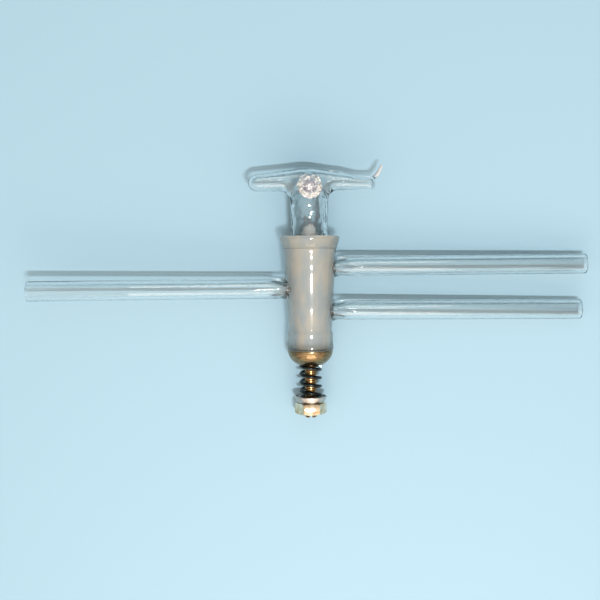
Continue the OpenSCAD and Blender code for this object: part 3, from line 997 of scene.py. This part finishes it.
def helical_thread(low, high):
    """Open skin of a true helical thread that stands out past both levels."""
    deselect()
    bpy.ops.mesh.primitive_circle_add(
        vertices=4, radius=1, fill_type="NOTHING", enter_editmode=True, location=(0, 0, 0)
    )
    bpy.ops.object.mode_set(mode="OBJECT")
    piece = bpy.context.object
    piece.name = piece.data.name = "stud_thread"
    start = low - 2 * THREAD_PITCH
    root, crest = STUD_R - THREAD_DEPTH, STUD_R
    corners = [(root, 0), (crest, 0.3 * THREAD_PITCH), (crest, 0.72 * THREAD_PITCH)]
    corners.append((root, THREAD_PITCH))
    for vertex, (r, z) in zip(piece.data.vertices, corners):
        vertex.co = (r * MM, 0, (start + z) * MM)
    # The outline is open: the edge between its first and last corner goes
    edit(piece, "EDGE")
    bpy.ops.object.mode_set(mode="OBJECT")
    for edge in piece.data.edges:
        edge.select = set(edge.vertices) == {0, 3}
    bpy.ops.object.mode_set(mode="EDIT")
    bpy.ops.mesh.delete(type="EDGE")
    bpy.ops.object.mode_set(mode="OBJECT")
    turns = math.ceil((high - low) / THREAD_PITCH) + 3
    return apply(
        piece,
        "SCREW",
        angle=2 * math.pi,
        screw_offset=THREAD_PITCH * MM,
        iterations=turns,
        steps=40,
        render_steps=40,
        use_merge_vertices=True,
        merge_threshold=0.001 * MM,
    )


def make_stud():
    """Brass rod with a helical thread, a chamfered end with a screwdriver slot, and a head."""
    low, high = stud_low.z, stud_high.z
    piece = helical_thread(low, high)
    edit(piece)
    for level, normal in ((low, (0, 0, -1)), (high - HEAD_T, (0, 0, 1))):
        bpy.ops.mesh.select_all(action="SELECT")
        bpy.ops.mesh.remove_doubles(threshold=0.001 * MM)
        bpy.ops.mesh.bisect(
            plane_co=(0, 0, level * MM), plane_no=normal, clear_outer=True, use_fill=True
        )
    bpy.ops.object.mode_set(mode="OBJECT")
    close_up(piece)
    chamfer = turned("chamfer", [(2.0, low - 0.01), (3.2, low + 1.2), (3.2, high)], 64)
    cut(piece, chamfer, "INTERSECT")
    face_r, top = 3.2, high - HEAD_T
    head = turned(
        "head", [(face_r, top), (HEAD_R, top + 0.1), (HEAD_R, high - 0.1), (face_r, high)], 64
    )
    deselect()
    bpy.ops.mesh.primitive_cube_add(size=1, location=(0, 0, (low + SLOT_DEPTH / 2 - 0.5) * MM))
    slot = bpy.context.object
    slot.scale = (SLOT_W * MM, 8 * MM, (SLOT_DEPTH + 1) * MM)
    bpy.ops.object.transform_apply(location=True, rotation=True, scale=True)
    cut(piece, slot)
    piece = join([piece, head], "stud_thread")
    clothe(piece, thread_brass)
    return lay_down(piece, "key", ["stud"], angle=25)


def make_cup():
    """Dished cup of bright plate with a rounded rim."""
    rim_r, low, high = cup_high.x, cup_low.z, cup_high.z
    outline = [
        (STUD_HOLE_R, low),
        (CUP_FLOOR_R - 0.35, low),
        (CUP_FLOOR_R - 0.1, low + 0.08),
        (CUP_FLOOR_R, low + 0.25),
    ]
    for t in steps(0.1, 0.9, 6):
        outline.append(
            (CUP_FLOOR_R + (rim_r - CUP_FLOOR_R) * t**0.8, low + 0.25 + (high - low - 0.6) * t)
        )
    centre_r, centre_z, r = rim_r - CUP_WALL / 2, high - CUP_WALL / 2, CUP_WALL / 2
    for a in steps(0, math.pi, 8):
        outline.append((centre_r + r * math.cos(a), centre_z + r * math.sin(a)))
    inside = low + CUP_WALL
    outline += [(CUP_FLOOR_R - 0.3, inside), (STUD_HOLE_R, inside), (STUD_HOLE_R, low)]
    piece = turned("spring_cup_plate", outline, 96, closed=True)
    clothe(piece, bright_nickel)
    return lay_down(piece, "spring_cup", ["spring_cup"], angle=35)


def make_nut():
    """Six-sided brass nut, its corners chamfered as on a lathe and its edges worn."""
    low, high = nut_low.z, nut_high.z
    flats = nut_high.y - nut_low.y
    corner = flats / 2 / math.cos(math.pi / 6)
    deselect()
    bpy.ops.mesh.primitive_cylinder_add(
        vertices=6,
        radius=corner * MM,
        depth=(high - low) * MM,
        location=(0, 0, (low + high) / 2 * MM),
        rotation=(0, 0, math.pi / 6),
    )
    piece = bpy.context.object
    piece.name = piece.data.name = "clamp_nut_brass"
    bpy.ops.object.transform_apply(location=True, rotation=True, scale=True)
    outline = [
        (corner - 1.05, low),
        (corner + 0.02, low + 0.62),
        (corner + 0.02, high - 0.3),
        (corner - 0.6, high),
    ]
    cut(piece, turned("chamfers", outline, 96), "INTERSECT")
    mouth_r = 2.75
    outline = [
        (mouth_r, low - 0.1),
        (STUD_HOLE_R, low + 0.25),
        (STUD_HOLE_R, high - 0.25),
        (mouth_r, high + 0.1),
    ]
    cut(piece, turned("bore", outline, 64))
    apply(piece, "BEVEL", width=0.12 * MM, segments=3, limit_method="ANGLE", angle_limit=0.5)
    close_up(piece)
    clothe(piece, nut_brass)
    return lay_down(piece, "clamp_nut", ["clamp_nut"], angle=30)


make_barrel()
make_key()
make_cap()
make_spring()
make_stud()
make_cup()
make_nut()
clothe(frame["nodes"]["stud_cement"], set_cement)

# ---- Bench, lamps and camera --------------------------------------------------------

deselect()
bpy.ops.mesh.primitive_plane_add(size=4, location=(0, 0, 0))
bench = bpy.context.object
bench.name = "bench"
bench_paint, bench_tree, bench_output = material("Pale blue bench laminate")
surface = add(bench_tree, "ShaderNodeBsdfPrincipled", Roughness=0.9)
surface.inputs["Base Color"].default_value = sheet_colour("#A8CADC")
surface.inputs["Specular IOR Level"].default_value = 0.1
bench_tree.links.new(surface.outputs[0], bench_output.inputs["Surface"])
clothe(bench, bench_paint)

world = bpy.data.worlds.new("Soft room light")
bpy.context.scene.world = world
world.use_nodes = True
sky = world.node_tree.nodes["Background"]
towards = add(
    world.node_tree,
    "ShaderNodeVectorMath",
    {"Vector": add(world.node_tree, "ShaderNodeTexCoord").outputs["Generated"]},
    operation="DOT_PRODUCT",
)
# The room is dark behind and warm and bright in front, beyond the nut
towards.inputs[1].default_value = (0.0, -0.9, 0.43)
room = add(world.node_tree, "ShaderNodeValToRGB")
around = add(world.node_tree, "ShaderNodeMapRange", {"Value": towards.outputs["Value"]})
around.inputs["From Min"].default_value = -1.0
world.node_tree.links.new(around.outputs[0], room.inputs["Fac"])
room.color_ramp.elements[0].position = 0.55
room.color_ramp.elements[0].color = sheet_colour("#3C4A52")
room.color_ramp.elements[1].position = 0.88
room.color_ramp.elements[1].color = sheet_colour("#FFF0E0")
world.node_tree.links.new(room.outputs[0], sky.inputs["Color"])
sky.inputs["Strength"].default_value = 1.4


def lamp(name, place, aim, size, power, colour):
    """Soft lamp aimed at a point, its width level along X."""
    light = bpy.data.lights.new(name, "AREA")
    light.shape = "RECTANGLE"
    light.size, light.size_y = size
    light.energy = power
    light.color = sheet_colour(colour)[:3]
    holder = bpy.data.objects.new(name, light)
    bpy.context.scene.collection.objects.link(holder)
    back = (Vector(place) - Vector(aim)).normalized()
    up = back.cross(Vector((1, 0, 0))).normalized()
    holder.matrix_world = (
        Matrix.Translation(place) @ Matrix((up.cross(back), up, back)).transposed().to_4x4()
    )


# Places and sizes in metres, powers in watts
lamp("flash", (0.15, -0.31, 1.2), aim=(0, 0, 0), size=(0.16, 0.035), power=8.4, colour="#FFFFFF")
lamp(
    "window",
    (0.025, -0.31, 0.25),
    aim=(0.025, 0.3, 0.2),
    size=(0.24, 0.2),
    power=0.6,
    colour="#FFECDA",
)
lamp("ceiling", (0.1, 0.5, 0.9), aim=(0, 0, 0), size=(0.8, 0.6), power=0.8, colour="#F4F8FF")

# The camera looks straight down from just under half a metre, a little off the middle and
# turned by half a degree. Width and height are in millimetres, the angle in degrees.
SENSOR_WIDTH, VIEW_ANGLE, CAMERA_HEIGHT = 36, 30, 459
camera = bpy.data.objects.new("camera", bpy.data.cameras.new("camera"))
bpy.context.scene.collection.objects.link(camera)
bpy.context.scene.camera = camera
camera.data.sensor_width = SENSOR_WIDTH
camera.data.lens = SENSOR_WIDTH / 2 / math.tan(math.radians(VIEW_ANGLE / 2))
camera.location = (-3.95 * MM, -3.3 * MM, CAMERA_HEIGHT * MM)
camera.rotation_euler = (0, 0, math.radians(-0.5))

scene = bpy.context.scene
scene.view_settings.view_transform = "Standard"
scene.cycles.max_bounces = 24
scene.cycles.transmission_bounces = 20
scene.cycles.transparent_max_bounces = 24
# Lamps already shine straight through the glass, so their bent light isn't counted again
scene.cycles.caustics_reflective = False
scene.cycles.caustics_refractive = False
